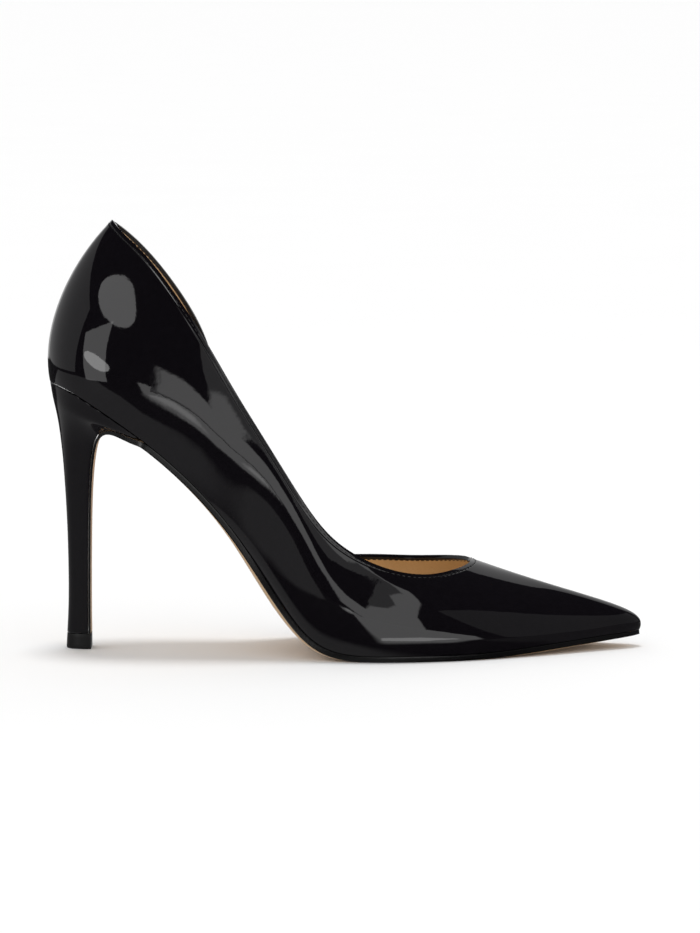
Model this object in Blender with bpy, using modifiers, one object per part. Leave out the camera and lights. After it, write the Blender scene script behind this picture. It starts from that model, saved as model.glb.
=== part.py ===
"""Half dorsay pump with a pointed toe and a slim heel: a right shoe, standing on its sole.

Metres, +Z up, toe to +X. The shoe's outer side faces -Y and its inner side +Y. The origin is the
middle of the heel's tip, on the floor. Every piece is worked out from the last: a curve for its
bottom seen from the side, an outline around its foot bed, and one wall section for each row of
the tables below. Lengths in a table are shares of the size that its column follows.
"""
from collections import namedtuple

import bmesh
import bpy
import numpy as np

# Sizes of the last
SHOE_LENGTH = 0.2309      # back of the last to its toe, along the floor
HEEL_SETBACK = 0.0110     # back of the last behind the middle of the heel's tip
HEEL_RISE = 0.1030        # back of the last above its ball
TOE_SPRING = 0.0043       # toe of the last above its ball
TOE_SWING = 0.0040        # toe's tip towards the inner side
BALL_WIDTH = 0.0712       # width of the foot bed at the ball
QUARTER_HEIGHT = 0.0745   # back of the collar above the foot bed
VAMP_HEIGHT = 0.0327      # throat, over the instep's start, above the foot bed

# Thicknesses and clearances
WALL = 0.0016             # patent, stiffener and lining together
OUTSOLE_THICKNESS = 0.0022
SOLE_CROWN = 0.0013       # how far the sole's face bulges below its edge, off the floor
CROWN_WIDTH = 0.0026      # width of the bevel between the sole's edge and its face
INSOLE_THICKNESS = 0.0024
SOLE_INSET = 0.0002       # sole and heel seat inside the upper's lower edge
INSOLE_TOE_SPACE = 0.0050  # insole's end behind the upper's lower edge at the toe
GAP = 0.0003              # between pieces that touch

# Heel
SEAT_LENGTH = 0.0382      # along the floor, from the seat's back to the heel's lip
SHAFT_WIDTH = 0.0092      # across the heel where it is thinnest
LIFT_HEIGHT = 0.0060
LIFT_FLARE = 0.0003       # top lift past the heel's tip all round
LIFT_BEVEL = 0.0004
LIP_THICKNESS = 0.0004    # where the heel's front edge thins out under the foot bed
LEAD_STEP = 0.004         # spacing of the bed's last points, which the heel's front curve follows
FLAP_THICKNESS = 0.0008   # sole's flap down the heel's front

# Fineness of the meshes
STEPS_PER_ROW = 3         # steps around the shoe between two wall sections
WALL_STEPS = 11           # steps up a wall section
LOWER_CROWDING = 1.3      # above 1 the steps are closer near the sole
SOLE_STEPS = 46
TOE_CROWDING = 1.4        # above 1 the sole's steps are closer near the toe
HEEL_RING_STEPS = 11      # steps from the heel's front corner to its back
HEEL_STEPS_PER_ROW = 2
CURVE_STEPS = 1200        # for curves that are only measured
TIP_STEP = 0.00015        # first slice of a pointed or round end

# The last's bottom from the side: forward is a share of SHOE_LENGTH from its back, heel a share
# of HEEL_RISE and spring a share of TOE_SPRING
BottomRow = namedtuple("BottomRow", "forward heel spring")
BOTTOM = [
    BottomRow(0.000, 1.000, 0.00),
    BottomRow(0.030, 0.983, 0.00),
    BottomRow(0.066, 0.941, 0.00),
    BottomRow(0.130, 0.847, 0.00),
    BottomRow(0.195, 0.735, 0.00),
    BottomRow(0.260, 0.594, 0.00),
    BottomRow(0.320, 0.428, 0.00),
    BottomRow(0.370, 0.260, 0.00),
    BottomRow(0.410, 0.132, 0.00),
    BottomRow(0.445, 0.050, 0.00),
    BottomRow(0.480, 0.013, 0.00),
    BottomRow(0.530, 0.000, 0.00),
    BottomRow(0.600, 0.000, 0.00),
    BottomRow(0.680, 0.000, 0.00),
    BottomRow(0.760, 0.000, 0.12),
    BottomRow(0.850, 0.000, 0.47),
    BottomRow(0.930, 0.000, 0.78),
    BottomRow(1.000, 0.000, 1.00),
]

# The foot bed's outline: along is a share of the bottom's own length from its back, outer and
# inner are half widths in shares of BALL_WIDTH
OutlineRow = namedtuple("OutlineRow", "along outer inner")
OUTLINE = [
    OutlineRow(0.000, 0.000, 0.000),
    OutlineRow(0.013, 0.170, 0.168),
    OutlineRow(0.042, 0.271, 0.267),
    OutlineRow(0.092, 0.331, 0.320),
    OutlineRow(0.158, 0.350, 0.330),
    OutlineRow(0.227, 0.341, 0.316),
    OutlineRow(0.304, 0.323, 0.278),
    OutlineRow(0.385, 0.325, 0.262),
    OutlineRow(0.466, 0.384, 0.295),
    OutlineRow(0.543, 0.468, 0.369),
    OutlineRow(0.616, 0.513, 0.444),
    OutlineRow(0.693, 0.492, 0.470),
    OutlineRow(0.770, 0.422, 0.412),
    OutlineRow(0.843, 0.314, 0.298),
    OutlineRow(0.909, 0.201, 0.186),
    OutlineRow(0.957, 0.115, 0.106),
    OutlineRow(0.986, 0.061, 0.057),
    OutlineRow(1.000, 0.000, 0.000),
]

# The sole's edge thickness and the bulge of its face, in shares of OUTSOLE_THICKNESS and
# SOLE_CROWN, at shares of the bottom's own length
SoleRow = namedtuple("SoleRow", "along edge crown")
SOLE = [
    SoleRow(0.00, 1.00, 0.3),
    SoleRow(0.16, 1.00, 0.3),
    SoleRow(0.28, 1.00, 0.7),
    SoleRow(0.38, 1.00, 1.5),
    SoleRow(0.46, 1.00, 1.9),
    SoleRow(0.54, 1.00, 1.4),
    SoleRow(0.63, 1.00, 0.9),
    SoleRow(0.80, 0.98, 1.0),
    SoleRow(0.92, 0.92, 0.8),
    SoleRow(0.97, 0.84, 0.4),
    SoleRow(1.00, 0.74, 0.0),
]

# Wall sections, one for each row of the outline, as curves from the foot bed to the collar.
# The collar's point: top_x is a share of SHOE_LENGTH from the back, top_half a share of
# BALL_WIDTH, and it stands quarter shares of QUARTER_HEIGHT and vamp shares of VAMP_HEIGHT above
# the foot bed. The lower handle goes up by low_up of the section's height and out by low_out of
# BALL_WIDTH. The upper handle lies high_fore of SHOE_LENGTH ahead of the collar's point, high_side
# of BALL_WIDTH outside it and high_down of the section's height below it.
WallRow = namedtuple(
    "WallRow", "top_x top_half quarter vamp low_up low_out high_fore high_side high_down")
BACK_WALL = WallRow(0.107, 0.000, 1.000, 0.000, 0.32, 0.056, -0.075, 0.000, 0.27)
TOE_WALL = WallRow(0.711, 0.000, 0.000, 0.985, 0.31, 0.060, 0.226, 0.000, 0.63)
OUTER_WALL = [
    WallRow(0.116, 0.073, 0.990, 0.000, 0.32, 0.053, -0.063, 0.070, 0.27),
    WallRow(0.135, 0.152, 0.976, 0.000, 0.32, 0.050, -0.035, 0.094, 0.27),
    WallRow(0.169, 0.239, 0.960, 0.000, 0.31, 0.045, -0.012, 0.077, 0.27),
    WallRow(0.213, 0.301, 0.903, 0.000, 0.30, 0.053, 0.000, 0.052, 0.28),
    WallRow(0.261, 0.337, 0.826, 0.010, 0.29, 0.080, 0.000, 0.046, 0.28),
    WallRow(0.313, 0.362, 0.715, 0.080, 0.28, 0.108, 0.000, 0.039, 0.28),
    WallRow(0.367, 0.390, 0.600, 0.290, 0.27, 0.100, 0.000, 0.039, 0.28),
    WallRow(0.421, 0.421, 0.420, 0.620, 0.27, 0.070, 0.002, 0.045, 0.28),
    WallRow(0.471, 0.440, 0.190, 0.930, 0.27, 0.055, 0.005, 0.060, 0.28),
    WallRow(0.525, 0.438, 0.050, 1.030, 0.27, 0.048, 0.010, 0.087, 0.29),
    WallRow(0.580, 0.415, 0.010, 0.965, 0.27, 0.042, 0.020, 0.103, 0.29),
    WallRow(0.633, 0.354, 0.000, 0.920, 0.27, 0.038, 0.044, 0.091, 0.28),
    WallRow(0.673, 0.248, 0.000, 0.932, 0.27, 0.036, 0.083, 0.062, 0.31),
    WallRow(0.697, 0.152, 0.000, 0.955, 0.29, 0.036, 0.140, 0.014, 0.43),
    WallRow(0.707, 0.082, 0.000, 0.974, 0.30, 0.042, 0.189, -0.011, 0.55),
    WallRow(0.710, 0.037, 0.000, 0.982, 0.31, 0.056, 0.216, -0.011, 0.61),
]
INNER_WALL = [
    WallRow(0.115, 0.073, 0.992, 0.000, 0.32, 0.053, -0.063, 0.070, 0.27),
    WallRow(0.133, 0.149, 0.979, 0.000, 0.32, 0.050, -0.035, 0.090, 0.27),
    WallRow(0.166, 0.232, 0.946, 0.000, 0.31, 0.042, -0.012, 0.070, 0.27),
    WallRow(0.210, 0.288, 0.881, 0.000, 0.30, 0.038, 0.000, 0.044, 0.28),
    WallRow(0.254, 0.308, 0.778, 0.010, 0.30, 0.036, 0.002, 0.036, 0.28),
    WallRow(0.281, 0.302, 0.575, 0.040, 0.30, 0.036, 0.006, 0.034, 0.30),
    WallRow(0.307, 0.290, 0.280, 0.100, 0.30, 0.036, 0.013, 0.034, 0.30),
    WallRow(0.358, 0.303, 0.100, 0.310, 0.29, 0.040, 0.014, 0.042, 0.28),
    WallRow(0.422, 0.346, 0.040, 0.640, 0.28, 0.046, 0.014, 0.066, 0.27),
    WallRow(0.486, 0.385, 0.010, 0.880, 0.27, 0.048, 0.020, 0.098, 0.28),
    WallRow(0.547, 0.396, 0.000, 0.932, 0.27, 0.044, 0.031, 0.120, 0.28),
    WallRow(0.608, 0.368, 0.000, 0.926, 0.27, 0.040, 0.052, 0.104, 0.28),
    WallRow(0.658, 0.276, 0.000, 0.956, 0.27, 0.038, 0.088, 0.056, 0.31),
    WallRow(0.691, 0.166, 0.000, 0.985, 0.29, 0.036, 0.138, 0.010, 0.43),
    WallRow(0.705, 0.090, 0.000, 0.993, 0.30, 0.042, 0.189, -0.011, 0.55),
    WallRow(0.710, 0.040, 0.000, 0.989, 0.31, 0.056, 0.216, -0.010, 0.61),
]

# The heel from its tip to its lip, with the sole's flap in front of it. Forward and back places
# are shares of SEAT_LENGTH ahead of the seat's back, heights are shares of the way from the top
# lift to the foot bed there, and half is a share of SHAFT_WIDTH. Flap is the flap's thickness in
# shares of FLAP_THICKNESS and crown its bulge in shares of SOLE_CROWN.
HeelRow = namedtuple("HeelRow", "front front_height back back_height half flap crown")
HEEL = [
    HeelRow(0.388, 0.000, 0.160, 0.000, 0.51, 1.00, 0.0),
    HeelRow(0.387, 0.140, 0.176, 0.119, 0.50, 1.00, 0.0),
    HeelRow(0.391, 0.320, 0.177, 0.280, 0.51, 1.00, 0.0),
    HeelRow(0.398, 0.500, 0.167, 0.445, 0.54, 1.00, 0.0),
    HeelRow(0.412, 0.650, 0.150, 0.580, 0.64, 1.05, 0.1),
    HeelRow(0.435, 0.755, 0.131, 0.690, 0.82, 1.15, 0.1),
    HeelRow(0.465, 0.822, 0.115, 0.752, 1.02, 1.25, 0.1),
    HeelRow(0.507, 0.868, 0.102, 0.797, 1.29, 1.40, 0.2),
    HeelRow(0.583, 0.912, 0.084, 0.845, 1.65, 1.65, 0.2),
    HeelRow(0.707, 0.946, 0.058, 0.895, 2.07, 2.00, 0.3),
    HeelRow(0.867, 0.970, 0.027, 0.950, 2.44, 2.40, 0.3),
]


def second_derivatives(knots, values, closed):
    """The bends of the smoothest cubic curve through values, one row for each knot."""
    steps = np.diff(knots)
    slopes = np.diff(values, axis=0) / steps[:, None]
    matrix = np.eye(len(knots))
    right = np.zeros_like(values)
    for row in range(1, len(knots) - 1):
        before, after = steps[row - 1], steps[row]
        matrix[row, row - 1:row + 2] = before, 2 * (before + after), after
        right[row] = 6 * (slopes[row] - slopes[row - 1])
    if closed:
        matrix[0, -1] = -1
        matrix[-1] = 0
        matrix[-1, -2] = steps[-1]
        matrix[-1, 0] = 2 * (steps[-1] + steps[0])
        matrix[-1, 1] = steps[0]
        right[-1] = 6 * (slopes[0] - slopes[-1])
    return np.linalg.solve(matrix, right)


def spline(knots, values, places, closed=False):
    """Read the smooth curve through values, one row for each knot, at the given places."""
    bends = second_derivatives(knots, values, closed)
    span = np.clip(np.searchsorted(knots, places, side="right") - 1, 0, len(knots) - 2)
    width = (knots[span + 1] - knots[span])[:, None]
    ahead = (knots[span + 1] - places)[:, None]
    behind = (places - knots[span])[:, None]
    line = (values[span] * ahead + values[span + 1] * behind) / width
    bend = (bends[span] * (ahead ** 3 / width - ahead * width)
            + bends[span + 1] * (behind ** 3 / width - behind * width)) / 6
    return line + bend


def between_knots(knots, steps):
    """Places that split each stretch between two knots into equal steps."""
    places = [np.linspace(start, end, steps, endpoint=False) for start, end in zip(knots, knots[1:])]
    return np.append(np.concatenate(places), knots[-1])


class Bottom:
    """The last's bottom from the side, read by its length from the back."""

    def __init__(self):
        forward = np.array([row.forward for row in BOTTOM])
        height = np.array([[row.heel * HEEL_RISE + row.spring * TOE_SPRING] for row in BOTTOM])
        fine = np.linspace(0, 1, CURVE_STEPS)
        self.x = fine * SHOE_LENGTH - HEEL_SETBACK
        self.z = OUTSOLE_THICKNESS + GAP + spline(forward, height, fine)[:, 0]
        pieces = np.hypot(np.diff(self.x), np.diff(self.z))
        self.lengths = np.append(0, np.cumsum(pieces))
        self.length = self.lengths[-1]

    def point(self, along, lift=0.0):
        """X and Z at a length from the back, moved by lift at right angles to the bottom."""
        x = np.interp(along, self.lengths, self.x)
        z = np.interp(along, self.lengths, self.z)
        step = self.length / CURVE_STEPS * 4
        ahead = np.minimum(along + step, self.length)
        behind = np.maximum(along - step, 0)
        run = np.interp(ahead, self.lengths, self.x) - np.interp(behind, self.lengths, self.x)
        fall = np.interp(ahead, self.lengths, self.z) - np.interp(behind, self.lengths, self.z)
        size = np.hypot(run, fall)
        return x - lift * fall / size, z + lift * run / size

    def height(self, x):
        return np.interp(x, self.x, self.z)

    def along(self, x):
        return np.interp(x, self.x, self.lengths)


def swing(x):
    """Sideways shift of the toe, which grows from the ball to the tip."""
    forward = (x + HEEL_SETBACK) / SHOE_LENGTH
    return TOE_SWING * np.maximum(0, forward * 2 - 1) ** 3


def outline_loop(bottom):
    """Rows of length and width around the foot bed: back, outer side, toe, inner side, back."""
    outer = [(row.along * bottom.length, -row.outer * BALL_WIDTH) for row in OUTLINE]
    inner = [(row.along * bottom.length, row.inner * BALL_WIDTH) for row in OUTLINE]
    return np.array(outer + inner[-2::-1])


def loop_knots(loop):
    """Knots that keep a smooth curve even where its points are unevenly spaced."""
    return np.append(0, np.cumsum(np.sqrt(np.linalg.norm(np.diff(loop, axis=0), axis=1))))


def half_widths(bottom, along, inset):
    """Outer and inner Y of the foot bed's outline at each length, inset all round."""
    loop = outline_loop(bottom)
    knots = loop_knots(loop)
    fine = spline(knots, loop, between_knots(knots, 24)[:-1], closed=True)
    direction = np.roll(fine, -1, axis=0) - np.roll(fine, 1, axis=0)
    direction /= np.linalg.norm(direction, axis=1)[:, None]
    inward = np.column_stack((-direction[:, 1], direction[:, 0]))
    moved = fine + inward * inset
    toe = int(np.argmax(moved[:, 0]))
    outer = np.interp(along, moved[:toe + 1, 0], moved[:toe + 1, 1])
    inner = np.interp(along, moved[:toe - 1:-1, 0], moved[:toe - 1:-1, 1])
    return outer, inner


def crowded_steps(start, end, count):
    """Lengths from start to end, closer together near both."""
    turn = np.linspace(0, np.pi, count + 1)
    return start + (end - start) * (1 - np.cos(turn)) / 2


def wall_rows(bottom):
    """Collar points and handles of all sections around the shoe, as columns."""
    rows = []
    around = [(BACK_WALL, 0)]
    around += [(row, -1) for row in OUTER_WALL]
    around += [(TOE_WALL, 0)]
    around += [(row, 1) for row in reversed(INNER_WALL)]
    around += [(BACK_WALL, 0)]
    for row, side in around:
        x = row.top_x * SHOE_LENGTH - HEEL_SETBACK
        rise = row.quarter * QUARTER_HEIGHT + row.vamp * VAMP_HEIGHT
        collar = (x, side * row.top_half * BALL_WIDTH, bottom.height(x) + rise)
        upper = (row.high_fore * SHOE_LENGTH, side * row.high_side * BALL_WIDTH, row.high_down)
        lower = (row.low_up, row.low_out * BALL_WIDTH)
        rows.append(collar + upper + lower)
    return np.array(rows)


def upper_surface(bottom):
    """Points of the upper's outer surface: around the shoe, then up each wall section."""
    loop = outline_loop(bottom)
    rows = wall_rows(bottom)
    knots = loop_knots(np.column_stack((loop, rows[:, :3])))
    places = between_knots(knots, STEPS_PER_ROW)[:-1]
    along, side = spline(knots, loop, places, closed=True).T
    columns = spline(knots, rows, places, closed=True)
    x, z = bottom.point(np.clip(along, 0, bottom.length))
    foot = np.column_stack((x, side, z))
    collar = columns[:, :3]
    tall = collar[:, 2] - foot[:, 2]
    ring = np.roll(foot, -1, axis=0) - np.roll(foot, 1, axis=0)
    outward = np.column_stack((ring[:, 1], -ring[:, 0])) / np.hypot(ring[:, 0], ring[:, 1])[:, None]
    low = foot.copy()
    low[:, :2] += outward * columns[:, 7:8]
    low[:, 2] += columns[:, 6] * tall
    high = collar + columns[:, 3:6] * np.column_stack((np.ones_like(tall), np.ones_like(tall), -tall))
    up = (np.linspace(0, 1, WALL_STEPS + 1) ** LOWER_CROWDING)[None, :, None]
    surface = (foot[:, None] * (1 - up) ** 3 + low[:, None] * 3 * up * (1 - up) ** 2
               + high[:, None] * 3 * up ** 2 * (1 - up) + collar[:, None] * up ** 3)
    surface[..., 1] += swing(surface[..., 0])
    return surface


def add_object(name, bm, material, collection):
    """Make an object of a finished mesh."""
    mesh = bpy.data.meshes.new(name)
    bm.to_mesh(mesh)
    bm.free()
    mesh.shade_smooth()
    mesh.set_sharp_from_angle(angle=np.radians(35))
    mesh.materials.append(material)
    part = bpy.data.objects.new(name, mesh)
    collection.objects.link(part)
    return part


def add_material(name, colour, roughness, metallic=0.0):
    material = bpy.data.materials.new(name)
    material.use_nodes = True
    shader = material.node_tree.nodes["Principled BSDF"]
    shader.inputs["Base Color"].default_value = (*colour, 1)
    shader.inputs["Roughness"].default_value = roughness
    shader.inputs["Metallic"].default_value = metallic
    return material


def loft(bm, sections, closed_along=False, closed_across=True):
    """Join sections of equally many points with faces, and return their vertices."""
    rings = [[bm.verts.new(point) for point in section] for section in sections]
    pairs = list(zip(rings, rings[1:]))
    if closed_along:
        pairs.append((rings[-1], rings[0]))
    for ring, following in pairs:
        count = len(ring) if closed_across else len(ring) - 1
        for place in range(count):
            after = (place + 1) % len(ring)
            bm.faces.new((ring[place], ring[after], following[after], following[place]))
    return rings


def cap_in_pairs(bm, ring):
    """Close a ring with faces between its two sides, which have equally many points."""
    last = len(ring) - 1
    for place in range(len(ring) // 2 - 1):
        bm.faces.new((ring[place], ring[place + 1], ring[last - place - 1], ring[last - place]))


def add_upper(bottom, material, collection):
    """An open shell, thickened inwards."""
    bm = bmesh.new()
    loft(bm, upper_surface(bottom), closed_along=True, closed_across=False)
    bmesh.ops.recalc_face_normals(bm, faces=bm.faces)
    part = add_object("upper", bm, material, collection)
    wall = part.modifiers.new("wall", "SOLIDIFY")
    wall.thickness = WALL
    wall.offset = -1
    wall.use_even_offset = True
    wall.use_quality_normals = True
    return part


def bed_columns(bottom, along):
    """X, Z, outer Y, inner Y, edge and crown of the sole's upper face under the foot bed."""
    x, z = bottom.point(along, -GAP)
    outer, inner = half_widths(bottom, along, SOLE_INSET)
    shares = np.array([row.along for row in SOLE])
    face = np.array([(row.edge * OUTSOLE_THICKNESS, row.crown * SOLE_CROWN) for row in SOLE])
    return np.column_stack((x, z, outer, inner, spline(shares, face, along / bottom.length)))


def heel_stations(bottom):
    """The sole's face down the heel's front, from the lip to the tip, and the heel behind it.

    The columns are X, Z, outer Y, inner Y, edge, crown, then X and Z at the heel's back. With
    them comes how far each station belongs to the seat: 1 at the lip, 0 from the last row on.
    """
    tip = LIFT_HEIGHT + GAP
    lip = bottom.along(SEAT_LENGTH - HEEL_SETBACK)
    seat_back = np.array(bottom.point(SOLE_INSET + TIP_STEP, -GAP))
    lead = bed_columns(bottom, lip + np.array([2, 1, 0]) * LEAD_STEP)
    rows = [np.append(row, seat_back) for row in lead]
    for row in reversed(HEEL):
        x = row.front * SEAT_LENGTH - HEEL_SETBACK
        z = tip + row.front_height * (bottom.height(x) - GAP - tip)
        half = row.half * SHAFT_WIDTH
        back_x = row.back * SEAT_LENGTH - HEEL_SETBACK
        back_z = tip + row.back_height * (seat_back[1] - tip)
        rows.append(np.array([x, z, -half, half, row.flap * FLAP_THICKNESS, row.crown * SOLE_CROWN,
                              back_x, back_z]))
    rows = np.array(rows)
    knots = loop_knots(rows[:, :2])
    places = between_knots(knots[len(lead) - 1:], HEEL_STEPS_PER_ROW)
    to_lip = (knots[len(lead)] - places) / (knots[len(lead)] - knots[len(lead) - 1])
    return spline(knots, rows, places), np.clip(to_lip, 0, 1)


def right_angles(x, z):
    """Unit X and Z across a path, to its left as it runs."""
    run, rise = np.gradient(x), np.gradient(z)
    size = np.hypot(run, rise)
    return -rise / size, run / size


def seat_ring(bottom, front):
    """The heel's seat under the foot bed, up to X at its front: outer corner, back, inner corner."""
    turn = np.linspace(np.pi, 0, HEEL_RING_STEPS + 1)
    back = SOLE_INSET + TIP_STEP
    along = back + (bottom.along(front) - back) * (1 - np.cos(turn)) / 2
    columns = bed_columns(bottom, along)
    outer_side = columns[:, [0, 2, 1]]
    inner_side = columns[::-1, [0, 3, 1]]
    return np.vstack((outer_side, inner_side))


def ring_shares(ring):
    """Each point's share of the ring's depth from its front, and of its half width."""
    depth = (ring[0, 0] - ring[:, 0]) / (ring[0, 0] - ring[:, 0].min())
    side = ring[:, 1] / np.where(ring[:, 1] < 0, -ring[0, 1], ring[-1, 1])
    return depth, side


def heel_rings(bottom):
    """Rings from the seat to the tip, each with its front on the sole's flap."""
    stations, to_lip = heel_stations(bottom)
    across_x, across_z = right_angles(stations[:, 0], stations[:, 1])
    drop = bottom.height(stations[:, 0]) - GAP - stations[:, 1]
    first = int(np.argmax(drop > LIP_THICKNESS + GAP))
    seat = seat_ring(bottom, stations[first, 0])
    depth, side = ring_shares(seat)
    rings = [seat]
    for at in range(first, len(stations)):
        x, z, _, half, _, _, back_x, back_z = stations[at]
        front = np.array([x - across_x[at] * GAP, z - across_z[at] * GAP])
        shaft_x = front[0] + (back_x - front[0]) * depth
        shaft_z = front[1] + (back_z - front[1]) * depth
        shaft = np.column_stack((shaft_x, side * half, shaft_z))
        under_seat = seat.copy()
        under_seat[:, 0] += (front[0] - seat[0, 0]) * (1 - depth) ** 2
        under_seat[:, 2] += (front[1] - seat[0, 2]) * (1 - depth) ** 2
        rings.append(shaft + (under_seat - shaft) * to_lip[at])
    return rings


def add_heel(bottom, material, collection):
    bm = bmesh.new()
    rings = loft(bm, heel_rings(bottom))
    cap_in_pairs(bm, rings[0])
    bm.faces.new(rings[-1])
    bmesh.ops.recalc_face_normals(bm, faces=bm.faces)
    return add_object("heel", bm, material, collection)


def add_top_lift(bottom, material, collection):
    """The heel's tip outline with the flap's end, with a bevel at the floor."""
    tip = heel_rings(bottom)[-1]
    depth, side = ring_shares(tip)
    front = tip[0, 0] + GAP + FLAP_THICKNESS
    back = tip[:, 0].min()
    half = tip[-1, 1]
    levels = [(0.0, LIFT_FLARE - LIFT_BEVEL), (LIFT_BEVEL, LIFT_FLARE), (LIFT_HEIGHT, 0.0)]
    sections = []
    for z, flare in levels:
        x = front + (back - flare - front) * depth
        sections.append(np.column_stack((x, side * (half + flare), np.full_like(x, z))))
    bm = bmesh.new()
    rings = loft(bm, sections)
    bm.faces.new(rings[0])
    bm.faces.new(rings[-1])
    bmesh.ops.recalc_face_normals(bm, faces=bm.faces)
    return add_object("top_lift", bm, material, collection)


def sole_path(bottom):
    """Stations along the sole's upper face, from the toe back and down the heel's front."""
    lip = bottom.along(SEAT_LENGTH - HEEL_SETBACK)
    toe = bottom.length - SOLE_INSET - TIP_STEP
    along = toe - (toe - lip) * (np.linspace(0, 1, SOLE_STEPS + 1) ** TOE_CROWDING)
    stations, _ = heel_stations(bottom)
    return np.vstack((bed_columns(bottom, along), stations[1:, :6]))


def add_outsole(bottom, material, collection):
    """Sections across the sole: flat above, edges at right angles, a crowned face below."""
    path = sole_path(bottom)
    down = np.column_stack(right_angles(path[:, 0], path[:, 1]))
    sections = []
    for (x, z, outer, inner, edge, crown), (down_x, down_z) in zip(path, down):
        bevel = min(CROWN_WIDTH, (inner - outer) / 4)
        middle = (outer + inner) / 2
        profile = [(outer, 0), (outer, edge), (outer + bevel, edge + crown * 0.75), (middle, edge + crown),
                   (inner - bevel, edge + crown * 0.75), (inner, edge), (inner, 0)]
        section = []
        for y, deep in profile:
            at_x = x + down_x * deep
            at_z = max(z + down_z * deep, 0)
            section.append((at_x, y + swing(at_x), at_z))
        sections.append(section)
    bm = bmesh.new()
    rings = loft(bm, sections)
    bm.faces.new(rings[0])
    bm.faces.new(rings[-1])
    bmesh.ops.recalc_face_normals(bm, faces=bm.faces)
    return add_object("outsole", bm, material, collection)


def add_insole(bottom, material, collection):
    """Board and sock inside the shell, on the sole and the heel's seat."""
    inset = WALL + 1.5 * GAP
    start = inset + TIP_STEP
    end = bottom.length - max(inset, INSOLE_TOE_SPACE)
    along = crowded_steps(start, end, SOLE_STEPS)
    outer, inner = half_widths(bottom, along, inset)
    low_x, low_z = bottom.point(along)
    high_x, high_z = bottom.point(along, INSOLE_THICKNESS)
    sections = []
    for at in range(len(along)):
        corners = [(low_x[at], outer[at], low_z[at]), (high_x[at], outer[at], high_z[at]),
                   (high_x[at], inner[at], high_z[at]), (low_x[at], inner[at], low_z[at])]
        sections.append([(x, y + swing(x), z) for x, y, z in corners])
    bm = bmesh.new()
    rings = loft(bm, sections)
    bm.faces.new(rings[0])
    bm.faces.new(rings[-1])
    bmesh.ops.recalc_face_normals(bm, faces=bm.faces)
    return add_object("insole", bm, material, collection)


def main():
    for old in list(bpy.data.objects):
        bpy.data.objects.remove(old)
    collection = bpy.data.collections.new("dorsay_pump")
    bpy.context.scene.collection.children.link(collection)
    patent = add_material("black patent", (0.004, 0.003, 0.005), 0.06)
    sole_leather = add_material("sole leather", (0.56, 0.36, 0.23), 0.45)
    covered_heel = add_material("heel cover", (0.006, 0.005, 0.006), 0.12)
    lift_plastic = add_material("top lift", (0.012, 0.011, 0.012), 0.45)
    lining = add_material("beige lining", (0.60, 0.42, 0.25), 0.55)
    bottom = Bottom()
    add_upper(bottom, patent, collection)
    add_outsole(bottom, sole_leather, collection)
    add_heel(bottom, covered_heel, collection)
    add_top_lift(bottom, lift_plastic, collection)
    add_insole(bottom, lining, collection)


main()
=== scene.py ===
# %% [markdown]
# # A half dorsay pump in black patent
# The shoe is a right one. It stands on its sole and the tip of its slim heel, with its outer side
# to the camera and its pointed toe to the right. The solids of its source come in as a fixed
# frame. This lesson copies them, smooths the copies, and gives each the finish of the real
# piece: mirror patent, beige lining, tan sole leather, the covered heel and its plastic tip.

# %% Load the frame
import math

import bmesh
import bpy
from mathutils import Matrix, Vector
from mathutils.kdtree import KDTree


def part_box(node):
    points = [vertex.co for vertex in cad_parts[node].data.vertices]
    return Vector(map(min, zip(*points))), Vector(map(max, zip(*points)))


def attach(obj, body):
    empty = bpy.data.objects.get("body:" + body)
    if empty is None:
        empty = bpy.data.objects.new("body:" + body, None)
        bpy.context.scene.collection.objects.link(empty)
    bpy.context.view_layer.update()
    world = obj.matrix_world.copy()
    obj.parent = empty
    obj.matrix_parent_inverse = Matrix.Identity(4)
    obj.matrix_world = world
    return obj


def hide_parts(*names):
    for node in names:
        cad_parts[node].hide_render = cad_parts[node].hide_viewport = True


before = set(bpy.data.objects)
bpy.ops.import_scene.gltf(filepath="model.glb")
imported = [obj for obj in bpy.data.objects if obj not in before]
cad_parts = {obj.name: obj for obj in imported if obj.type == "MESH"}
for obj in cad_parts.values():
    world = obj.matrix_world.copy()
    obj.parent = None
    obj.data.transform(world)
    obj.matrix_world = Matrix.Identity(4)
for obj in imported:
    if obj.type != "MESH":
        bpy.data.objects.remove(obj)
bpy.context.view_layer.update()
bpy.ops.object.select_all(action="DESELECT")
print("solids:", sorted(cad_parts))

# %% [markdown]
# ## The camera
# The photograph was taken from far off, square to the shoe's side and a little above it, so the
# lens is long and its pitch is small. The camera is placed by the point that it looks at, the
# distance and the pitch, because these three can be read off a picture one by one.

# %% Camera
LOOK_AT = Vector((0.1059, 0.0, 0.0714))
CAMERA_DISTANCE = 1.6
CAMERA_PITCH = math.radians(7)
LENS, SENSOR = 158.3, 36
camera = bpy.data.objects.new("camera", bpy.data.cameras.new("camera"))
camera.data.lens, camera.data.sensor_width = LENS, SENSOR
camera.data.clip_start, camera.data.clip_end = 0.05, 100
back = Vector((0, -math.cos(CAMERA_PITCH), math.sin(CAMERA_PITCH)))
camera.location = LOOK_AT + CAMERA_DISTANCE * back
camera.rotation_euler = (math.radians(90) - CAMERA_PITCH, 0, 0)
bpy.context.scene.collection.objects.link(camera)
bpy.context.scene.camera = camera
print("camera at", [round(x, 3) for x in camera.location])

# %% [markdown]
# ## Shader maths
# A procedural finish is arithmetic on masks and noises. Wired by hand it soon becomes a knot of
# Math nodes, so one small class holds a socket, and its plus, minus and times add the node.
# Every other node comes from one method that takes its type, settings and inputs.

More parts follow.
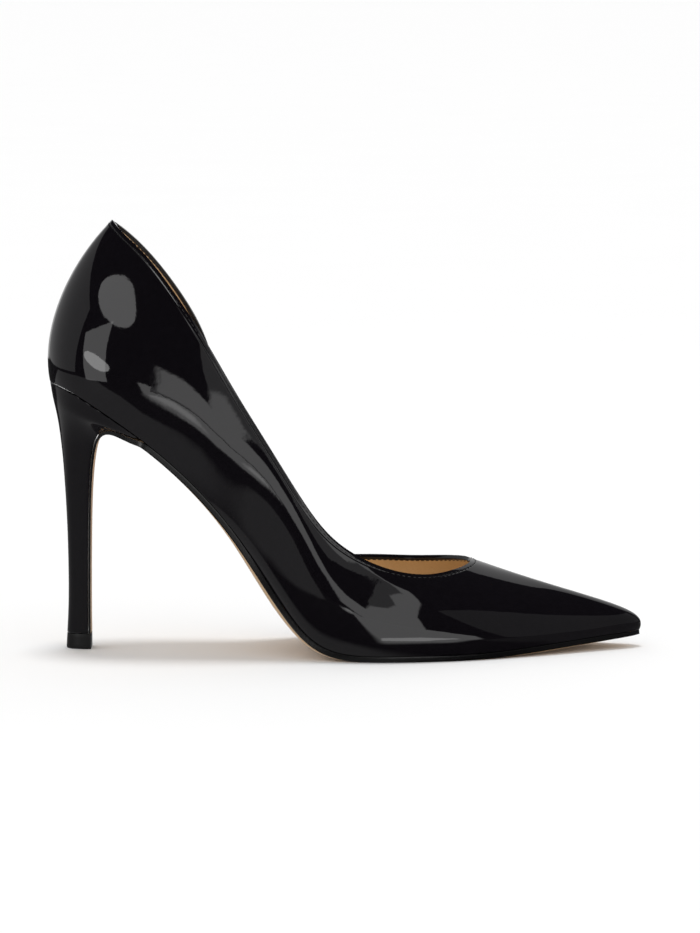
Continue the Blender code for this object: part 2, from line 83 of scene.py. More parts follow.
# %% A class for sockets
class Socket:
    """A number or colour that a shader tree works out."""

    def __init__(self, tree, out):
        self.tree, self.out = tree, out

    def node(self, kind, settings=(), out=0, **values):
        """Add a node of that kind. Values are named by their sockets, or by s and a number."""
        made = self.tree.nodes.new("ShaderNode" + kind)
        for name, value in dict(settings).items():
            setattr(made, name, value)
        for name, value in values.items():
            place = int(name[1:]) if name[1:].isdigit() else name.replace("_", " ")
            if isinstance(value, Socket):
                self.tree.links.new(value.out, made.inputs[place])
            else:
                made.inputs[place].default_value = value
        return Socket(self.tree, made.outputs[out])

    def math(self, operation, other):
        return self.node("Math", {"operation": operation}, s0=self, s1=other)

    def __add__(self, other):
        return self.math("ADD", other)

    def __sub__(self, other):
        return self.math("SUBTRACT", other)

    def __mul__(self, other):
        return self.math("MULTIPLY", other)

    def __rsub__(self, other):
        return (self * -1.0) + other

    __radd__, __rmul__ = __add__, __mul__

    def step(self, low, high):
        """0 below low, 1 above high, and smooth between them."""
        return self.node("MapRange", {"interpolation_type": "SMOOTHSTEP"},
                         Value=self, From_Min=low, From_Max=high)

    def band(self, low, high, soft):
        """1 between low and high."""
        return self.step(low - soft, low + soft) * (1 - self.step(high - soft, high + soft))

    def mix(self, first, second):
        """First colour where this is 0, second where it is 1."""
        return self.node("Mix", {"data_type": "RGBA"}, out=2, s0=self, s6=first, s7=second)

    def at(self, axis):
        """One axis of a vector."""
        return self.node("SeparateXYZ", out="XYZ".index(axis), Vector=self)

    def stretched(self, scale):
        return self.node("Mapping", Vector=self, Scale=scale)

    def noise(self, scale, detail=2.0, roughness=0.5):
        return self.node("TexNoise", Vector=self, Scale=scale, Detail=detail, Roughness=roughness)

    def bump(self, normal=None):
        """A normal that this height, in metres, bends."""
        more = {"Normal": normal} if normal else {}
        return self.node("Bump", Height=self, Distance=1.0, Strength=1.0, **more)


class Finish(Socket):
    """A material with one Principled shader."""

    def __init__(self, name, **constants):
        self.material = bpy.data.materials.new(name)
        self.material.use_nodes = True
        super().__init__(self.material.node_tree, None)
        self.shader = self.tree.nodes["Principled BSDF"]
        self.set(**constants)

    def set(self, **values):
        for name, value in values.items():
            socket = self.shader.inputs[name.replace("_", " ")]
            if isinstance(value, Socket):
                self.tree.links.new(value.out, socket)
            else:
                socket.default_value = value

    def place(self):
        """The point on the piece, in metres."""
        return self.node("TexCoord", out=3)

    def attribute(self, name):
        return self.node("Attribute", {"attribute_name": name}, out=2)


def rgb(red, green, blue):
    return (red, green, blue, 1.0)


BLACK, WHITE = rgb(0.0, 0.0, 0.0), rgb(1.0, 1.0, 1.0)
print("shader maths ready")

# %% [markdown]
# ## Handling a solid's copy
# A solid arrives as loose triangles. Its copy is merged, and then the diagonals go, so that
# what is left is the grid of quads a subdivision surface needs. A quad tool guesses which
# edges are diagonals and is wrong here and there, which shows on a mirror finish. The grid is
# walked ring by ring instead: edges along a ring stay, and so does the shortest full set of
# edges from one ring to the next. All others between two rings are diagonals.

# %% Copy, merge, rings
MERGE_DISTANCE = 1e-6
SMOOTH_LEVELS = 2


def only(piece):
    """Select one piece alone and make it active."""
    bpy.ops.object.select_all(action="DESELECT")
    piece.select_set(True)
    bpy.context.view_layer.objects.active = piece
    return piece


def start_edit(piece, kind):
    """Go to edit mode by vertex, edge or face, with nothing selected."""
    only(piece)
    bpy.ops.object.mode_set(mode="EDIT")
    bpy.ops.mesh.select_mode(type=kind)
    bpy.ops.mesh.select_all(action="DESELECT")


def copy_of(node, name):
    """A merged copy of a solid, selected."""
    piece = bpy.data.objects.new(name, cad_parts[node].data.copy())
    piece.data.name = name
    bpy.context.scene.collection.objects.link(piece)
    piece.data.materials.clear()
    only(piece)
    bpy.ops.mesh.customdata_custom_splitnormals_clear()
    bpy.ops.object.mode_set(mode="EDIT")
    bpy.ops.mesh.select_all(action="SELECT")
    bpy.ops.mesh.remove_doubles(threshold=MERGE_DISTANCE)
    bpy.ops.object.mode_set(mode="OBJECT")
    return piece


def walk(ring):
    """Put a ring's vertices in order along the edges that join them."""
    members, ordered = set(ring), [ring[0]]
    while len(ordered) < len(ring):
        near = (edge.other_vert(ordered[-1]) for edge in ordered[-1].link_edges)
        ordered.append(next(vert for vert in near if vert in members and vert not in ordered[-2:]
                            and vert is not ordered[0]))
    return ordered


def next_ring(ring, seen):
    found = {edge.other_vert(vert) for vert in ring for edge in vert.link_edges} - seen
    return walk(sorted(found, key=lambda vert: vert.index)) if found else []


def matched(ring, following):
    """Turn the following ring so that each vertex faces its partner, by the shortest edges."""
    best = None
    for start in (edge.other_vert(ring[0]) for edge in ring[0].link_edges):
        if start not in following:
            continue
        at, count = following.index(start), len(following)
        for way in (1, -1):
            turned = [following[(at + way * step) % count] for step in range(count)]
            joined = all(any(edge.other_vert(a) is b for edge in a.link_edges)
                         for a, b in zip(ring, turned))
            total = sum((a.co - b.co).length for a, b in zip(ring, turned))
            if joined and (best is None or total < best[0]):
                best = (total, turned)
    return best[1]


def rings_from(first):
    """All rings of a grid, from the first on, each facing the one before."""
    rings, seen = [walk(first)], set(first)
    while True:
        following = next_ring(rings[-1], seen)
        if not following:
            return rings
        rings.append(matched(rings[-1], following))
        seen |= set(following)


def open_loops(bm):
    """Vertices of each open edge loop, the loop with the highest point first."""
    left = {vert for edge in bm.edges if edge.is_boundary for vert in edge.verts}
    loops = []
    while left:
        loop, fresh = set(), [left.pop()]
        while fresh:
            vert = fresh.pop()
            loop.add(vert)
            near = {e.other_vert(vert) for e in vert.link_edges if e.is_boundary} & left
            fresh += near
            left -= near
        loops.append(sorted(loop, key=lambda vert: vert.index))
    return sorted(loops, key=lambda loop: -max(vert.co.z for vert in loop))


def clear_diagonals(piece):
    """Dissolve the diagonals of an open grid, whose rings start at its highest open edge."""
    start_edit(piece, "EDGE")
    bm = bmesh.from_edit_mesh(piece.data)
    rings = rings_from(open_loops(bm)[0])
    level = {vert: number for number, ring in enumerate(rings) for vert in ring}
    kept = {frozenset(pair) for one, two in zip(rings, rings[1:]) for pair in zip(one, two)}
    for edge in bm.edges:
        one, two = edge.verts
        edge.select_set(level[one] != level[two] and frozenset(edge.verts) not in kept)
    bmesh.update_edit_mesh(piece.data)
    bpy.ops.mesh.dissolve_edges(use_verts=False)
    bpy.ops.object.mode_set(mode="OBJECT")
    sides = {len(face.vertices) for face in piece.data.polygons}
    print(f"{piece.name}: {len(rings)} rings of {len(rings[0])}, faces with {sides} sides")


def modify(piece, kind, **settings):
    """Add a modifier, set it and apply it."""
    only(piece)
    modifier = piece.modifiers.new(kind.lower(), kind)
    for name, value in settings.items():
        setattr(modifier, name, value)
    bpy.ops.object.modifier_apply(modifier=modifier.name)


def smooth(piece):
    modify(piece, "SUBSURF", levels=SMOOTH_LEVELS, render_levels=SMOOTH_LEVELS)


def break_edges(piece, angle, width, segments=2):
    """Bevel the edges that turn by more than an angle."""
    modify(piece, "BEVEL", width=width, segments=segments, limit_method="ANGLE",
           angle_limit=math.radians(angle))


def show_smooth(piece, angle):
    only(piece)
    bpy.ops.object.shade_smooth_by_angle(angle=math.radians(angle))
    triangles = sum(len(face.vertices) - 2 for face in piece.data.polygons)
    print(f"{piece.name}: {triangles} triangles")


# %% [markdown]
# ## The upper's outer skin
# The upper is one wall of patent, stiffener and lining. Its solid has an outer skin, an inner
# skin and two rims. Only the outer skin is kept: it is smoothed as a sheet, and the thickness is
# put back afterwards, so that both skins stay parallel and the edge keeps its full width.

# %% Outer skin
def cut_at_corners(piece, angle):
    """Split a mesh at its sharp edges and part it into loose pieces."""
    start_edit(piece, "EDGE")
    bpy.ops.mesh.edges_select_sharp(sharpness=math.radians(angle))
    bpy.ops.mesh.edge_split(type="EDGE")
    bpy.ops.mesh.select_all(action="SELECT")
    bpy.ops.mesh.separate(type="LOOSE")
    bpy.ops.object.mode_set(mode="OBJECT")
    return list(bpy.context.selected_objects)


def area_of(piece):
    return sum(face.area for face in piece.data.polygons)


parts = sorted(cut_at_corners(copy_of("upper", "upper_shell"), 60), key=area_of)
print("upper falls into", len(parts), "parts")
upper = parts.pop()
for part in parts:
    bpy.data.objects.remove(part)
upper.name = upper.data.name = "patent_upper"
clear_diagonals(upper)
smooth(upper)

# %% [markdown]
# ## Lines that follow the topline
# The folded edge, the stitches and the facings all keep a set distance from the topline, so that
# line is read off the sheet's open edge once, while the sheet has no thickness.

# %% Topline and its neighbours
STITCH_INSET = 0.0019
WALL = 0.0016
THREAD_LIFT = 0.00005


def edge_line(piece):
    """Points of the upper open edge, with the way down the sheet and the way out at each."""
    only(piece)
    bpy.ops.object.mode_set(mode="EDIT")
    bm = bmesh.from_edit_mesh(piece.data)
    loop = walk(open_loops(bm)[0])
    members, line = set(loop), []
    for vert in loop:
        near = (edge.other_vert(vert) for edge in vert.link_edges)
        inward = next(other for other in near if other not in members)
        line.append((vert.co.copy(), (inward.co - vert.co).normalized(), vert.normal.copy()))
    bpy.ops.object.mode_set(mode="OBJECT")
    return line


def length_of(points):
    """The length of a closed line."""
    return sum((b - a).length for a, b in zip(points, points[1:] + points[:1]))


topline = edge_line(upper)
topline_points = [at for at, _, _ in topline]
outer_stitch_line = [at + down * STITCH_INSET + out * THREAD_LIFT for at, down, out in topline]
inner_stitch_line = [at + down * STITCH_INSET - out * (WALL + THREAD_LIFT) for at, down, out in topline]
back_peak = max(topline_points, key=lambda at: at.z)
print("topline in mm:", round(length_of(topline_points) * 1000))

# %% [markdown]
# ## The wall's thickness and its rolled edge
# Real patent is folded over the edge, so the topline is round and about as thick as the wall.
# Solidify grows the wall inwards and gives the inner skin the second material, the lining. A
# small bevel on the rims then rolls the fold at the top and the turned-under edge at the sole.

# %% Wall and fold
FOLD_RADIUS = 0.00055
for _ in ("patent", "lining"):
    upper.data.materials.append(None)
modify(upper, "SOLIDIFY", thickness=WALL, offset=-1, use_even_offset=True,
       use_quality_normals=True, material_offset=1)
break_edges(upper, 55, FOLD_RADIUS, 3)
show_smooth(upper, 50)


def write_distance(piece, name, points):
    """Give each vertex its distance to a line, for the finishes to follow."""
    tree = KDTree(len(points))
    for number, point in enumerate(points):
        tree.insert(point, number)
    tree.balance()
    values = [tree.find(vert.co)[2] for vert in piece.data.vertices]
    piece.data.attributes.new(name, "FLOAT", "POINT").data.foreach_set("value", values)


def finely(points, steps=4):
    """A closed line with extra points between its own."""
    pairs = zip(points, points[1:] + points[:1])
    return [a.lerp(b, step / steps) for a, b in pairs for step in range(steps)]


write_distance(upper, "from_topline", finely(topline_points))

# %% [markdown]
# ## Stitches
# A row of short black stitches runs just under the fold, seen outside on the patent and inside
# on the lining. One stitch is modelled, an array repeats it at the real pitch, and a curve
# modifier lays the row along the line.

# %% Stitch rows
STITCH_PITCH = 0.0022
STITCH_LENGTH = 0.0016
THREAD = 0.00034


def add_path(name, points):
    curve = bpy.data.curves.new(name, "CURVE")
    curve.dimensions = "3D"
    spline = curve.splines.new("POLY")
    spline.points.add(len(points) - 1)
    for number, point in enumerate(points):
        spline.points[number].co = (*point, 1)
    spline.use_cyclic_u = True
    path = bpy.data.objects.new(name, curve)
    bpy.context.scene.collection.objects.link(path)
    return path


def stitch_row(name, points):
    """One stitch, repeated along a closed line."""
    bpy.ops.object.select_all(action="DESELECT")
    bpy.ops.mesh.primitive_uv_sphere_add(segments=8, ring_count=6, radius=0.5, location=(0, 0, 0))
    row = bpy.context.object
    row.name = row.data.name = name
    bpy.ops.object.mode_set(mode="EDIT")
    bpy.ops.mesh.select_all(action="SELECT")
    bpy.ops.transform.resize(value=(STITCH_LENGTH, THREAD, THREAD))
    bpy.ops.object.mode_set(mode="OBJECT")
    path = add_path(name + "_path", points)
    length = length_of(points)
    count = round(length / STITCH_PITCH)
    modify(row, "ARRAY", fit_type="FIXED_COUNT", count=count, use_relative_offset=False,
           use_constant_offset=True, constant_offset_displace=(length / count, 0, 0))
    modify(row, "CURVE", object=path)
    bpy.data.objects.remove(path)
    show_smooth(row, 60)
    print(name, count, "stitches")
    return row


outer_stitches = stitch_row("topline_stitches", outer_stitch_line)
inner_stitches = stitch_row("lining_stitches", inner_stitch_line)

# %% [markdown]
# ## The outsole
# A thin leather sole runs from the toe to the heel's lip and then down the heel's front as a
# flap. Its cut edge is painted black and its face is left tan. A few faces of its solid are
# merged, so its rings can't be walked, and the quad tool serves, because this piece is no mirror.
# It is smoothed with its long corners creased, because a cut edge stays crisp.

# %% Outsole
def select_faces(piece, wanted):
    """Go to edit mode with the faces that fit selected."""
    start_edit(piece, "FACE")
    bm = bmesh.from_edit_mesh(piece.data)
    for face in bm.faces:
        face.select_set(bool(wanted(face)))
    bmesh.update_edit_mesh(piece.data)


def drop_caps(piece, wanted):
    select_faces(piece, wanted)
    bpy.ops.mesh.delete(type="FACE")
    bpy.ops.object.mode_set(mode="OBJECT")


def close_ends(piece):
    """Fill each open end with a face of its own."""
    start_edit(piece, "EDGE")
    bpy.ops.mesh.select_non_manifold()
    bpy.ops.mesh.edge_face_add()
    bpy.ops.object.mode_set(mode="OBJECT")


def crease_corners(piece, angle, crease=1.0):
    start_edit(piece, "EDGE")
    bpy.ops.mesh.edges_select_sharp(sharpness=math.radians(angle))
    bpy.ops.transform.edge_crease(value=crease)
    bpy.ops.object.mode_set(mode="OBJECT")


def add_slots(piece, *finishes):
    for finish in finishes:
        piece.data.materials.append(finish.material)


def triangles_to_quads(piece):
    """For a grid with a few merged faces, where rings can't be walked."""
    only(piece)
    bpy.ops.object.mode_set(mode="EDIT")
    bpy.ops.mesh.select_all(action="SELECT")
    bpy.ops.mesh.tris_convert_to_quads(face_threshold=math.radians(60),
                                       shape_threshold=math.radians(100), topology_influence=2.0)
    bpy.ops.object.mode_set(mode="OBJECT")


EDGE_BREAK = 0.00022
LIP_X = 0.0268
NEAR = 0.0001
outsole = copy_of("outsole", "leather_outsole")
triangles_to_quads(outsole)
crease_corners(outsole, 42)
smooth(outsole)
break_edges(outsole, 42, EDGE_BREAK)
show_smooth(outsole, 50)

# %% [markdown]
# ## The heel
# The heel is a moulded block wrapped in the same black material as the shoe, concave behind and
# straight in front. It flares into a seat that cups the upper. Its rings are walked as the
# upper's were. The two corners of its front face are creased, because the wrap is cut there.

# %% Heel
heel = copy_of("heel", "covered_heel")
heel_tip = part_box("heel")[0].z
drop_caps(heel, lambda face: face.normal.z > 0.5
          or face.calc_center_median().z < heel_tip + NEAR)
clear_diagonals(heel)
close_ends(heel)
crease_corners(heel, 42, 0.9)
smooth(heel)
break_edges(heel, 50, EDGE_BREAK)
show_smooth(heel, 50)

# %% [markdown]
# ## The top lift
# The tip that touches the floor is a small block of hard plastic, a hair wider than the heel.
# Its faces are merged where they are flat, so that creased corners give clean round sides.

# %% Top lift
top_lift = copy_of("top_lift", "heel_tip")
only(top_lift)
bpy.ops.object.mode_set(mode="EDIT")
bpy.ops.mesh.select_all(action="SELECT")
bpy.ops.mesh.dissolve_limited(angle_limit=math.radians(2))
bpy.ops.object.mode_set(mode="OBJECT")
crease_corners(top_lift, 40)
smooth(top_lift)
break_edges(top_lift, 40, EDGE_BREAK)
show_smooth(top_lift, 50)

# %% [markdown]
# ## The sock
# Inside, a padded beige sock covers the insole board from heel to toe. The board's solid gives
# its outline. Its ends are walked and closed again, its corners half creased, so that the edge
# turns down softly against the lining.

# %% Sock
insole = copy_of("insole", "padded_sock")
drop_caps(insole, lambda face: abs(face.normal.x) > 0.9 and abs(face.normal.y) < 0.01
          and not 0 < face.calc_center_median().x < 0.2)
clear_diagonals(insole)
close_ends(insole)
crease_corners(insole, 60, 0.75)
smooth(insole)
show_smooth(insole, 60)

# %% [markdown]
# ## Patent
# Patent leather is black leather under a thick clear lacquer. The lacquer is the mirror, and what
# lies under it is nearly black, so one smooth and rather weak specular layer over a dark base
# gives both. The lacquer is never quite flat: a slow ripple bends the edges of reflections, and
# the row of stitches pulls a shallow groove into it.

# %% Patent
GROOVE_DEPTH = 0.00012
GROOVE_HALF = 0.0003


def patent_finish(name, ripple, gloss, mirror):
    """A finish and the relief of its ripple, whose height is in metres."""
    finish = Finish(name, Roughness=gloss, Specular_IOR_Level=mirror)
    place = finish.place()
    slow = place.noise(70.0, 1.0)
    quick = place.noise(420.0, 2.0)
    finish.set(Base_Color=quick.mix(rgb(0.0030, 0.0024, 0.0034), rgb(0.0050, 0.0042, 0.0056)))
    return finish, (slow * ripple + quick * (ripple * 0.12)).bump()


patent, relief = patent_finish("black_patent", 0.00005, 0.03, 0.36)
from_topline = patent.attribute("from_topline")
groove = from_topline.band(STITCH_INSET - GROOVE_HALF, STITCH_INSET + GROOVE_HALF, GROOVE_HALF)
patent.set(Normal=(groove * -GROOVE_DEPTH).bump(relief))
print("groove at the stitches in mm:", GROOVE_DEPTH * 1000)

# %% [markdown]
# ## Lining, sock and facing
# The lining is thin beige leather with a satin finish. It is darker in its pores, and a black
# facing covers it for a few millimetres at the back peak. The fold's own black reaches half a
# millimetre inside before the lining starts, and lengths there count from the outer edge.

# %% Lining
FACING_REACH = 0.0085
FACING_SOFT = 0.0003
FOLD_INSIDE = 0.0021
FOLD_SOFT = 0.0002
FOLD_BLACK = rgb(0.006, 0.005, 0.006)


def lining_finish(name, warm, pale):
    """A satin leather finish, with its place and its colour from warm to pale."""
    finish = Finish(name, Specular_IOR_Level=0.35)
    place = finish.place()
    cloudy = place.noise(45.0, 4.0)
    pores = place.noise(1500.0, 3.0, 0.6)
    colour = (cloudy * 0.6 + pores * 0.4).step(0.3, 0.75).mix(warm, pale)
    finish.set(Normal=(pores * 0.00006).bump(), Roughness=0.42 + pores * 0.2)
    return finish, place, colour


lining, place, colour = lining_finish("beige_lining", rgb(0.68, 0.48, 0.27), rgb(0.80, 0.60, 0.37))
to_peak = lining.node("VectorMath", {"operation": "DISTANCE"}, out=1, s0=place, s1=tuple(back_peak))
facing = 1 - to_peak.step(FACING_REACH - FACING_SOFT, FACING_REACH)
fold = 1 - lining.attribute("from_topline").step(FOLD_INSIDE, FOLD_INSIDE + FOLD_SOFT)
dark = (facing + fold).math("MINIMUM", 1.0)
lining.set(Base_Color=dark.mix(colour, FOLD_BLACK))
for slot, finish in enumerate((patent, lining)):
    upper.data.materials[slot] = finish.material

sock, _, colour = lining_finish("beige_sock", rgb(0.68, 0.49, 0.28), rgb(0.80, 0.61, 0.39))
sock.set(Base_Color=colour)
add_slots(insole, sock)
print("black fold inside in mm:", round((FOLD_INSIDE - WALL) * 1000, 1))

# %% [markdown]
# ## Thread, sole, heel cover and tip
# Waxed thread is black with a faint twist. The sole is vegetable tanned leather: tan, satin,
# slightly mottled, with its edge dyed black. The heel cover is a softer gloss than the upper,
# and the tip is a hard plastic with fine scuffs.

# %% Other finishes
thread = Finish("black_thread", Base_Color=rgb(0.010, 0.009, 0.010))
twist = thread.place().noise(2500.0, 2.0)
thread.set(Normal=(twist * 0.00005).bump(), Roughness=0.35 + twist * 0.2)
for row in (outer_stitches, inner_stitches):
    add_slots(row, thread)

sole_face = Finish("tan_sole_leather", Specular_IOR_Level=0.4)
place = sole_face.place()
grain = place.noise(900.0, 4.0, 0.6)
mottle = place.noise(30.0, 3.0)
shade = (mottle * 0.7 + grain * 0.3).step(0.3, 0.7)
sole_face.set(Base_Color=shade.mix(rgb(0.50, 0.335, 0.19), rgb(0.64, 0.45, 0.27)),
              Roughness=0.38 + grain * 0.2, Normal=(grain * 0.00005).bump())
# One black finish serves the dye of the sole's cut edge and the painted shade on the sole's upper side.
sole_edge_and_gap_shade = Finish("black_sole_edge_and_gap_shade", Base_Color=rgb(0.003, 0.0027, 0.003), Specular_IOR_Level=0.25)
nap = sole_edge_and_gap_shade.place().noise(1100.0, 3.0)
sole_edge_and_gap_shade.set(Roughness=0.2 + nap * 0.1, Normal=(nap * 0.000015).bump())
add_slots(outsole, sole_face, sole_edge_and_gap_shade)


def paint(piece, slot, wanted):
    """Give the faces that fit another of the piece's finishes."""
    select_faces(piece, wanted)
    piece.active_material_index = slot
    bpy.ops.object.material_slot_assign()
    bpy.ops.object.mode_set(mode="OBJECT")


def dyed_edge_and_gap_shade_face(face):
    """The sole's cut edge all round, dyed black, and its upper side, painted black as shade for the gap
    where it shows.
    """
    normal, ahead = face.normal, face.calc_center_median().x > LIP_X
    return abs(normal.y) > 0.55 or (ahead and (normal.x > 0.6 or normal.z > 0.3))


# The sole's upper side takes the black too, as painted shade in the gap between the upper and the sole.
paint(outsole, 1, dyed_edge_and_gap_shade_face)
add_slots(insole, sole_edge_and_gap_shade)
paint(insole, 1, lambda face: face.normal.z < 0.2)

cover, relief = patent_finish("heel_cover", 0.00003, 0.11, 0.22)
cover.set(Normal=relief)
add_slots(heel, cover)

tip = Finish("tip_plastic", Specular_IOR_Level=0.2)
place = tip.place()
scuffs = place.stretched((1400.0, 1400.0, 160.0)).noise(1.0, 3.0)
tip.set(Base_Color=scuffs.mix(rgb(0.002, 0.002, 0.002), rgb(0.008, 0.0075, 0.008)),
        Roughness=0.3 + scuffs * 0.2, Normal=(scuffs * 0.00004).bump())
add_slots(top_lift, tip)
for piece in (upper, outsole, heel, top_lift, insole):
    print(piece.name, [material.name for material in piece.data.materials])

# %% [markdown]
# ## The floor
# The floor is pale and plain to the camera. Patent shows its surroundings more than its own
# colour, and in the photograph it mirrors a floor that is lit in patches: grey near the shoe,
# bright where a window's light falls to the right and in strips to the left, and unlit between.
# So the floor has a second face for mirror rays alone, where these pools of light and the unlit ground
# between them are painted on as glow, each patch a convex shape with soft sides.

# %% Floor
FLOOR_SIZE = 80
bpy.ops.object.select_all(action="DESELECT")
bpy.ops.mesh.primitive_plane_add(size=FLOOR_SIZE, location=(0, 0, 0))
floor = bpy.context.object
floor.name = "floor"
DIM = 0.42
BRIGHT = 2.1
UNLIT = 0.02
PAINTED_LIGHT_PATCHES = [
    # painted glow level, softness in metres, corners from above against the clock
    (DIM, 0.012, [(-0.02, -0.1), (0.016, -0.098), (0.065, -0.073), (0.107, -0.051), (0.19, -0.05),
                  (0.19, 1.0), (-0.15, 1.0)]),
    (DIM, 0.02, [(-0.9, -1.3), (-0.236, -0.736), (-0.126, -0.566), (-0.045, -0.382), (-0.015, -0.24),
                 (0.0, -0.1), (0.0, 0.3), (-0.9, 0.3)]),
    (0.14, 0.02, [(0.19, -0.07), (0.6, -0.35), (3.0, -0.35), (3.0, 1.0), (0.18, 1.0)]),
    (BRIGHT, 0.03, [(-0.025, -0.58), (-0.09, -0.74), (-0.3, -1.65), (-2.2, -11.0), (0.0, -11.0),
                    (0.0, -0.6)]),
    (4.0, 0.08, [(-0.03, -0.64), (-0.1, -0.84), (-0.3, -1.7), (-0.3, -2.2), (-0.07, -1.1)]),
    (BRIGHT, 0.05, [(-0.5, -1.0), (-1.5, -3.0), (-3.0, -2.6), (-0.82, -0.85)]),
    (BRIGHT, 0.008, [(0.118, -0.055), (0.095, -0.14), (0.055, -0.34), (0.0, -0.6), (0.0, -11.0),
                     (5.0, -9.0), (3.6, -6.0), (0.75, -0.75), (0.21, -0.09), (0.16, -0.056)]),
    (1.1, 0.02, [(-0.15, -0.09), (-2.6, -1.6), (-2.8, -1.2), (-0.17, -0.075)]),
    (5.0, 0.003, [(0.118, -0.07), (0.18, -0.087), (0.18, -0.08), (0.145, -0.061), (0.118, -0.061)]),
]


def patch_mask(x, y, soft, corners):
    """1 inside the corners' convex shape."""
    mask = None
    for (ax, ay), (bx, by) in zip(corners, corners[1:] + corners[:1]):
        size = math.hypot(bx - ax, by - ay)
        inside = (y * (bx - ax) - x * (by - ay)) * (1 / size) + (by * ax - bx * ay) / size
        edge = inside.step(-soft / 2, soft / 2)
        mask = mask * edge if mask else edge
    return mask


paper = Finish("pale_floor_with_painted_light", Roughness=0.9, Specular_IOR_Level=0.1, Emission_Strength=1.0)
place = paper.place()
# The painted light: glowing patches that only mirror rays see, over painted unlit ground.
painted_floor_light = None
for level, soft, corners in PAINTED_LIGHT_PATCHES:
    patch = patch_mask(place.at("X"), place.at("Y"), soft, corners) * level
    painted_floor_light = painted_floor_light.math("MAXIMUM", patch) if painted_floor_light else patch
mirror = paper.node("LightPath", out=3)
pale = place.noise(6.0, 2.0).mix(rgb(0.955, 0.955, 0.955), rgb(0.97, 0.97, 0.97))
# The camera sees the pale floor, and mirror rays see the painted light patches and the painted shade
# between them.
paper.set(Base_Color=mirror.mix(pale, BLACK),
          Emission_Color=mirror.mix(BLACK, painted_floor_light.math("MAXIMUM", UNLIT)))
add_slots(floor, paper)
print(len(PAINTED_LIGHT_PATCHES), "patches on the floor")

# %% [markdown]
# ## The studio
# The world is white for the camera, grey for soft light and nearly black in a mirror. Panels of
# light, which only mirrors see, stand where the photograph's reflections come from. Each is
# placed by the direction in which the shoe sees it, in degrees: azimuth from the camera's side
# towards the toe, and elevation. Its brightness is set, and its power follows from its area.

# %% World and panels
world = bpy.data.worlds.new("studio")
bpy.context.scene.world = world
world.use_nodes = True
sky = Socket(world.node_tree, None)
backdrop = world.node_tree.nodes["Background"]
seen = sky.node("LightPath", out=0).mix(rgb(0.68, 0.68, 0.68), WHITE)
mirrored = sky.node("LightPath", out=3).mix(seen, rgb(0.02, 0.02, 0.022))
world.node_tree.links.new(mirrored.out, backdrop.inputs["Color"])
world.cycles.sampling_method = "NONE"

PANEL_DISTANCE = 1.2
SHOE_MIDDLE = Vector((0.1, 0.0, 0.07))


def direction(azimuth, elevation):
    """A way from the shoe, by its angle from the camera's side and its height, both in degrees."""
    across, up = math.radians(azimuth), math.radians(elevation)
    return Vector((math.sin(across) * math.cos(up), -math.cos(across) * math.cos(up), math.sin(up)))


def add_panel(name, shape, azimuth, elevation, width, height, lean, brightness):
    """A panel that faces the shoe and leans by an angle, seen by mirrors alone."""
    way = direction(azimuth, elevation)
    light = bpy.data.lights.new(name, "AREA")
    light.shape = shape
    light.size = 2 * PANEL_DISTANCE * math.tan(math.radians(width / 2))
    light.size_y = 2 * PANEL_DISTANCE * math.tan(math.radians(height / 2))
    light.energy = brightness * math.pi * light.size * light.size_y
    panel = bpy.data.objects.new(name, light)
    panel.location = SHOE_MIDDLE + way * PANEL_DISTANCE
    turned = way.to_track_quat("Z", "Y").to_matrix() @ Matrix.Rotation(math.radians(lean), 3, "Z")
    panel.rotation_euler = turned.to_euler()
    panel.visible_camera = panel.visible_diffuse = False
    bpy.context.scene.collection.objects.link(panel)


PANELS = [
    # name, shape, azimuth, elevation, width, height, lean, brightness
    ("left_window", "RECTANGLE", -40, 9, 21, 23, 6, 2.1),
    ("left_window_glow", "ELLIPSE", -38, 7, 24, 6, -14, 4.0),
    ("left_strip", "ELLIPSE", -36, 28.5, 39, 10, -28, 2.1),
    ("left_wall", "RECTANGLE", -105, 16, 88, 44, 0, 0.55),
    ("right_wall", "RECTANGLE", 82, 20, 74, 44, 10, 0.25),
    ("back_wall", "RECTANGLE", 165, 20, 44, 44, 0, 0.6),
    ("back_wall_left", "RECTANGLE", -162, 12, 34, 30, 0, 0.8),
]
for panel in PANELS:
    add_panel(*panel)
print(len(PANELS), "panels")

# %% [markdown]
# ## The window
# The large window on the right has many corners, so it is a mesh and not a light: a pane with a
# narrow rim that fades out, and a hazy strip along its upper left side. Its corners are given as
# directions too, and it stands just behind the panels.

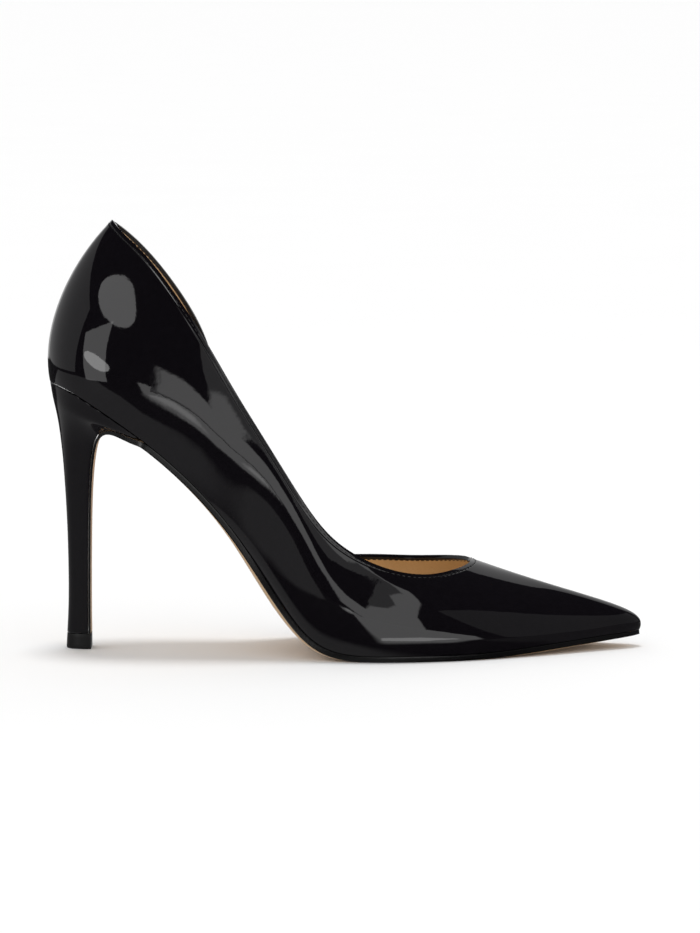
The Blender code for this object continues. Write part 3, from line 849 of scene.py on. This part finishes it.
# %% Window
WINDOW_DISTANCE = 1.03 * PANEL_DISTANCE
WINDOW_FADE = 0.8
HAZE = 0.3
WINDOW = [
    # azimuth, elevation and glow at the rim of each corner
    (-10.5, 7.2, 0.0), (-1.5, 4.3, 0.0), (2, 8, HAZE), (12, 12.5, HAZE), (18, 18.5, HAZE),
    (21, 28, HAZE), (33, 37, HAZE), (38, 45.5, 0.0), (43, 43.5, 0.0), (36, 31, 0.0), (28, 19, 0.0),
    (24.5, 11, 0.0), (24, -5, 0.0), (-2, -5, 0.0), (-13, -0.5, 0.0),
]
HAZE_STRIP = [(2, 8), (4, 12), (9, 18), (14, 24.5), (22, 32.5), (31, 39.5), (38, 45.5), (33, 37),
              (21, 28), (18, 18.5), (12, 12.5)]
rim = [Vector(corner[:2]) for corner in WINDOW]
inner = []
for before, here, after in zip(rim[-1:] + rim, rim, rim[1:] + rim[:1]):
    one, two = (Vector((edge.y, -edge.x)).normalized() for edge in (here - before, after - here))
    inner.append(here + (one + two) * WINDOW_FADE / (1 + one.dot(two)))

count = len(rim)
points = [SHOE_MIDDLE + direction(*angles) * WINDOW_DISTANCE for angles in (*rim, *inner, *HAZE_STRIP)]
faces = [(i, (i + 1) % count, count + (i + 1) % count, count + i) for i in range(count)]
faces += [range(count, 2 * count), range(2 * count, len(points))]
pane = bpy.data.meshes.new("window")
pane.from_pydata(points, [], faces)
glow = [corner[2] for corner in WINDOW] + [1.0] * count + [HAZE] * len(HAZE_STRIP)
pane.attributes.new("glow", "FLOAT", "POINT").data.foreach_set("value", glow)
window = bpy.data.objects.new("window", pane)
bpy.context.scene.collection.objects.link(window)
window.visible_camera = window.visible_diffuse = window.visible_shadow = False
lit = Finish("window_light", Roughness=1.0, Specular_IOR_Level=0.0, Base_Color=BLACK)
lit.set(Emission_Color=lit.attribute("glow").mix(BLACK, WHITE), Emission_Strength=BRIGHT)
add_slots(window, lit)
print("window with", count, "corners")

# %% [markdown]
# ## The light overhead
# A wide light from above, which no mirror sees, draws the soft shadow under the arch. It comes
# a little from behind, so that the shadow lies towards the camera.

# %% Overhead light
overhead = bpy.data.objects.new("overhead_light", bpy.data.lights.new("overhead_light", "SUN"))
overhead.data.energy = 1.25
overhead.data.angle = math.radians(14)
overhead.rotation_euler = (math.radians(-5), 0, 0)
overhead.visible_glossy = False
bpy.context.scene.collection.objects.link(overhead)
print("overhead light, strength", overhead.data.energy)
bpy.context.scene.view_settings.view_transform = "Standard"

# %% [markdown]
# ## Joining the frame
# Every piece rides on the shoe's one body, and the solid that it replaces is hidden. Each row also
# lists a material slot, which the loop does not use.

# %% Ride and replace
joins = [
    (upper, "upper", "patent"),
    (outsole, "outsole", "sole_leather"),
    (heel, "heel", "heel_cover"),
    (top_lift, "top_lift", "lift"),
    (insole, "insole", "lining"),
    (outer_stitches, None, "patent"),
    (inner_stitches, None, "lining"),
]
for piece, node, slot in joins:
    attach(piece, "root")
    if node:
        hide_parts(node)
